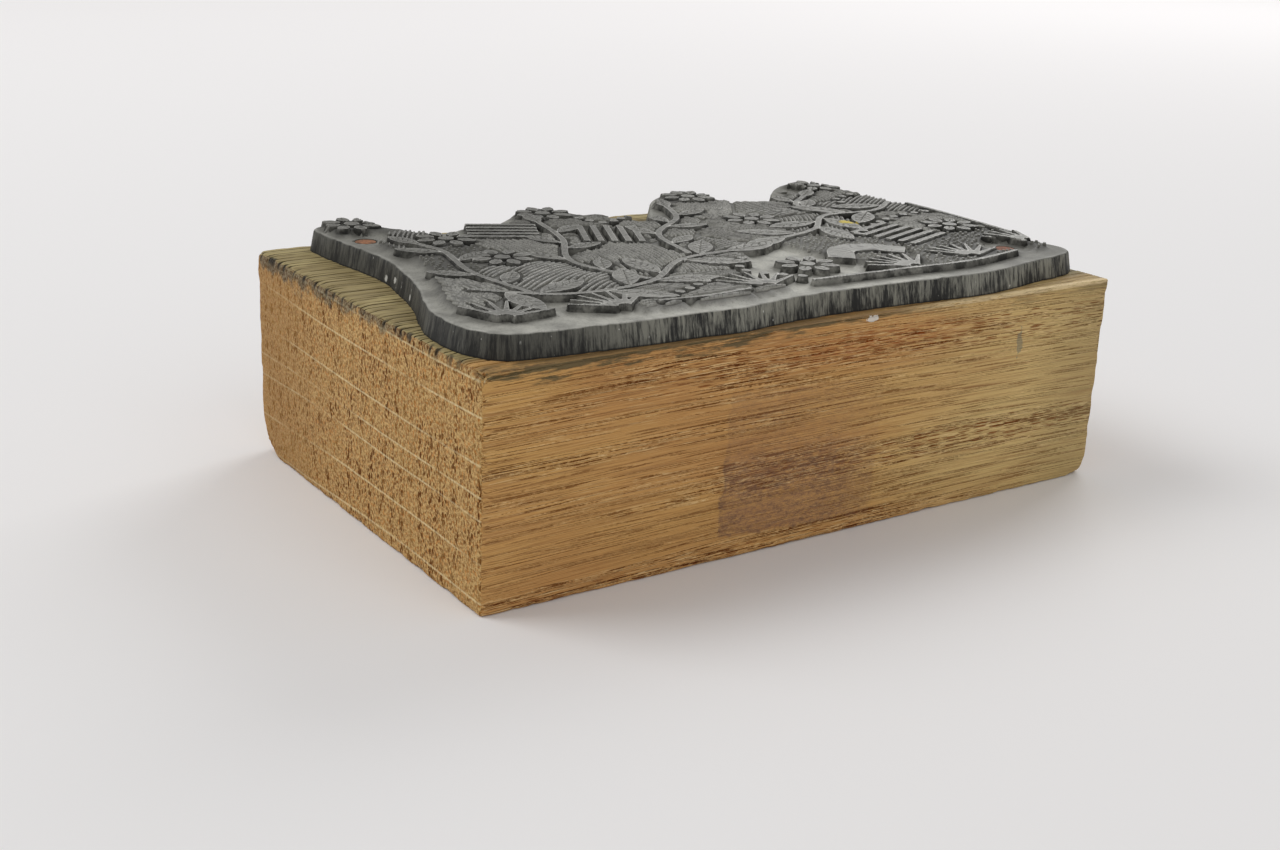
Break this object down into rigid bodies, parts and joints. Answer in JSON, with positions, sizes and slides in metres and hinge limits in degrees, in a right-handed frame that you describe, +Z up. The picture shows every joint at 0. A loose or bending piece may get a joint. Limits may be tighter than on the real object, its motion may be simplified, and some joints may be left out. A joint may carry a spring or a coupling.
{
  "type": "printing plate",
  "caption": "Letterpress printing block: an etched metal relief plate with a routed wavy outline, nailed onto an oblong oak block at type height.",
  "frame": {"origin": "middle of the oak block's foot, on the surface that it stands on", "axes": "+X along the block's length, +Y across it to the back, +Z up to the printing face"},
  "size_m": [0.0712, 0.046, 0.0236],
  "materials": {
    "oak": "bare sawn oak, hand-worn, stained by ink at the top arrises",
    "etched_metal": "dull grey etched zinc, matt in the recesses and worn satin on the printing face",
    "rusted_steel": "flat nail heads with light orange rust",
    "dark_steel": "dark steel at the bottom of its hole"
  },
  "bodies": {
    "root": {"wood_block": "oak", "printing_plate": "etched_metal", "plate_nail_left": "rusted_steel", "plate_nail_right": "rusted_steel", "plate_pin_back": "dark_steel"}
  },
  "joints": []
}
